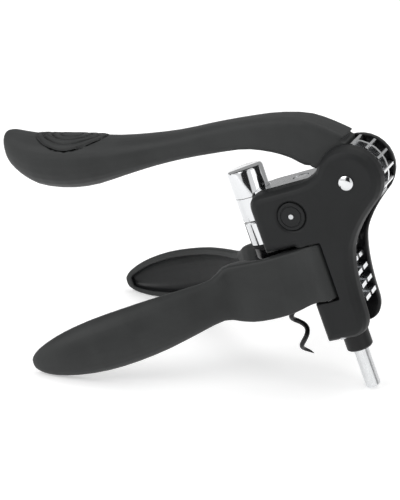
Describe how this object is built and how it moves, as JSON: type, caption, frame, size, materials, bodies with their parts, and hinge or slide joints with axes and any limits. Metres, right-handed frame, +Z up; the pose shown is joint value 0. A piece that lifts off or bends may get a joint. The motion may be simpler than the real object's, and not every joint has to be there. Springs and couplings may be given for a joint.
{
  "type": "lever corkscrew",
  "caption": "Standing lever corkscrew: a rack-and-pinion lever lifts a spinning worm between two housing cheeks, with two swinging handles that clamp the bottle neck.",
  "frame": {"origin": "middle of the bounding box's bottom face, where the guide rod and both clamp handles stand", "axes": "+X along the tool's length, from the lever's end and grips towards the pivot; +Z up; the left side is -Y"},
  "size_m": [0.253, 0.153, 0.1628],
  "materials": {
    "housing_plastic": "fine satin moulded texture",
    "soft_touch": "rubberised soft-touch coating, charcoal",
    "gloss_black": "glossy moulded black",
    "rubber": "matt black",
    "nylon": "self-coloured black nylon",
    "chrome": "bright plate",
    "steel": "zinc plated",
    "satin_steel": "satin drawn bar",
    "coated_steel": "black non-stick coating"
  },
  "bodies": {
    "housing": {"housing_left": "housing_plastic", "housing_right": "housing_plastic", "housing_core": "gloss_black", "rod_bushing": "gloss_black", "pivot_pin": "steel", "pivot_washer_left": "nylon", "pivot_washer_right": "nylon", "pivot_rivet_left": "chrome", "pivot_rivet_right": "chrome", "side_cap_left": "housing_plastic", "side_cap_right": "housing_plastic", "side_cap_pin_left": "steel", "side_cap_pin_right": "steel", "hinge_pin_left": "steel", "hinge_pin_right": "steel", "housing_screw_1": "steel", "housing_screw_2": "steel", "housing_screw_3": "steel", "nut_sleeve": "chrome", "nut_ring": "rubber", "nut_guide": "gloss_black", "nut_core": "nylon"},
    "lever": {"lever_handle": "soft_touch", "lever_thumb_pad": "soft_touch", "lever_pinion": "chrome", "lever_pin_1": "steel", "lever_pin_2": "steel"},
    "carriage": {"carriage_bridge": "chrome", "worm_cap": "chrome", "rack": "chrome", "guide_rod": "satin_steel", "rack_screw_left": "steel", "rack_screw_right": "steel", "thrust_washer": "nylon", "cap_washer": "nylon"},
    "worm": {"worm_shank": "steel", "worm_helix": "coated_steel"},
    "clamp_left": {"clamp_handle_left": "soft_touch", "jaw_pad_left": "rubber"},
    "clamp_right": {"clamp_handle_right": "soft_touch", "jaw_pad_right": "rubber"}
  },
  "joints": [
    {"name": "lever_swing", "type": "hinge", "parent": "housing", "child": "lever", "pos_m": [0.10018, 0, 0.13327], "axis": [0, 1, 0], "range_deg": [0, 160]},
    {"name": "carriage_slide", "type": "slide", "parent": "housing", "child": "carriage", "axis": [-0.4089, 0, 0.9126], "range_m": [0, 0.04897]},
    {"name": "worm_spin", "type": "hinge", "parent": "carriage", "child": "worm", "pos_m": [0.04013, 0, 0.10636], "axis": [-0.4089, 0, 0.9126], "range_deg": [0, 893.5]},
    {"name": "clamp_left_swing", "type": "hinge", "parent": "housing", "child": "clamp_left", "pos_m": [0.08805, -0.0165, 0.07523], "axis": [-0.4089, 0, 0.9126], "range_deg": [-8, 12]},
    {"name": "clamp_right_swing", "type": "hinge", "parent": "housing", "child": "clamp_right", "pos_m": [0.08805, 0.0165, 0.07523], "axis": [0.4089, 0, -0.9126], "range_deg": [-8, 12]}
  ],
  "couplings": [
    {"joint": "carriage_slide", "follows": "lever_swing", "m_per_rad": 0.0175},
    {"joint": "worm_spin", "follows": "lever_swing", "ratio": 5.5815}
  ]
}
